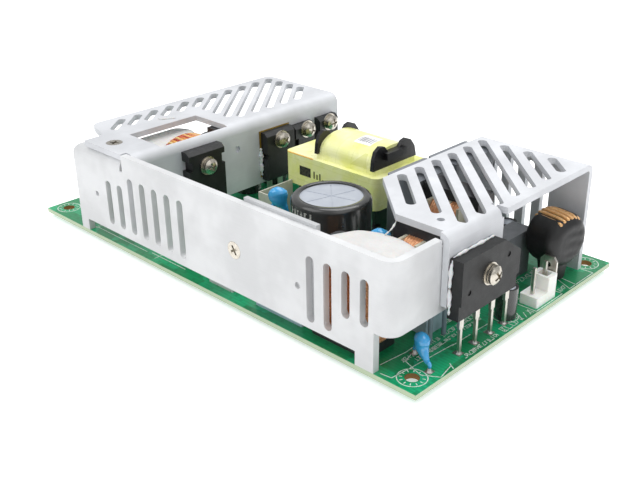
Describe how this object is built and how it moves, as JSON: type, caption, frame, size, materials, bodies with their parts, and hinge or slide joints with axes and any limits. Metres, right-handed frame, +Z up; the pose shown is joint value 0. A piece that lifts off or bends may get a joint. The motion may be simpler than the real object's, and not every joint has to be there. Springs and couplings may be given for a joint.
{
  "type": "open frame power supply",
  "caption": "Open frame power supply board with slotted bent aluminium heatsinks, a taped transformer, chokes, capacitors and input and output connectors.",
  "frame": {"origin": "centre of the part's outline on the plane the solder joints rest on", "axes": "+X along the board's long side towards the bridge rectifier and input connector, +Y to the far long side, +Z up from the board's component side"},
  "size_m": [0.1792, 0.1016, 0.0397],
  "materials": {
    "solder_mask_board": "satin green solder mask over glass-epoxy laminate",
    "solder": "bright solder",
    "front_sheet": "bare sheet aluminium",
    "left_sheet": "bare sheet aluminium",
    "right_sheet": "bare sheet aluminium",
    "plate_sheet": "bare sheet aluminium",
    "screw_steel": "bright nickel plate",
    "washer_steel": "nickel plate",
    "flat_screw_steel": "nickel plate",
    "switch_epoxy": "moulded epoxy",
    "rectifier_epoxy": "moulded epoxy",
    "small_epoxy": "moulded epoxy",
    "pad_film": "amber insulating film",
    "device_lead_tin": "tin plate",
    "bridge_epoxy": "moulded epoxy",
    "bridge_lead_tin": "tin plate",
    "core_tape": "yellow polyester tape over ferrite",
    "winding_tape": "yellow polyester tape over wire",
    "bobbin_black": "moulded phenolic",
    "pin_tin": "tin plate",
    "bulk_sleeve": "glossy shrink sleeve",
    "bulk_can": "scored can top",
    "box_cap_plastic": "grey moulded case",
    "x_cap_plastic": "dark grey moulded case",
    "film_cap_plastic": "grey-blue moulded case",
    "relay_plastic": "light grey moulded case",
    "small_sleeve": "glossy shrink sleeve",
    "output_sleeve": "glossy shrink sleeve",
    "output_can": "scored can top",
    "disc_coating": "glossy dipped coating",
    "disc_lead_tin": "tin plate",
    "choke_ferrite": "ferrite",
    "choke_copper": "enamelled copper wire",
    "choke_bobbin": "moulded nylon",
    "boost_copper": "enamelled copper wire",
    "boost_ferrite": "ferrite",
    "shrink_sleeve": "matt shrink sleeve",
    "sleeved_copper": "enamelled copper wire",
    "output_copper": "red and yellow enamelled wire",
    "cutout_plastic": "moulded case",
    "input_housing": "white nylon",
    "input_pin_tin": "tin plate",
    "tab_tin": "tin plate",
    "output_housing": "white nylon",
    "output_pin_tin": "tin plate",
    "barrier_film": "pressboard sheet",
    "silicone": "cured white silicone"
  },
  "bodies": {
    "root": {"circuit_board": "solder_mask_board", "solder_joints": "solder", "front_heatsink": "front_sheet", "left_heatsink": "left_sheet", "right_heatsink": "right_sheet", "backing_plate": "plate_sheet", "clamp_screws": "screw_steel", "clamp_washers": "washer_steel", "countersunk_screws": "flat_screw_steel", "main_switch": "switch_epoxy", "rectifier_block": "rectifier_epoxy", "small_rectifiers": "small_epoxy", "insulating_pad": "pad_film", "device_leads": "device_lead_tin", "bridge_rectifier": "bridge_epoxy", "bridge_leads": "bridge_lead_tin", "transformer_core": "core_tape", "transformer_winding": "winding_tape", "transformer_bobbin": "bobbin_black", "transformer_pins": "pin_tin", "bulk_capacitor_sleeve": "bulk_sleeve", "bulk_capacitor_can": "bulk_can", "box_capacitors": "box_cap_plastic", "x_capacitor": "x_cap_plastic", "film_capacitors": "film_cap_plastic", "relay_block": "relay_plastic", "small_electrolytics": "small_sleeve", "output_capacitor_sleeves": "output_sleeve", "output_capacitor_cans": "output_can", "disc_capacitors": "disc_coating", "disc_capacitor_leads": "disc_lead_tin", "line_choke_cores": "choke_ferrite", "line_choke_windings": "choke_copper", "line_choke_bobbins": "choke_bobbin", "boost_choke_winding": "boost_copper", "boost_choke_core": "boost_ferrite", "sleeved_choke_sleeve": "shrink_sleeve", "sleeved_choke_winding": "sleeved_copper", "output_choke_winding": "output_copper", "thermal_cutout": "cutout_plastic", "input_connector": "input_housing", "connector_pins": "input_pin_tin", "ground_tab": "tab_tin", "output_connector": "output_housing", "output_pins": "output_pin_tin", "barrier_sheet": "barrier_film", "silicone_glue": "silicone"}
  },
  "joints": []
}
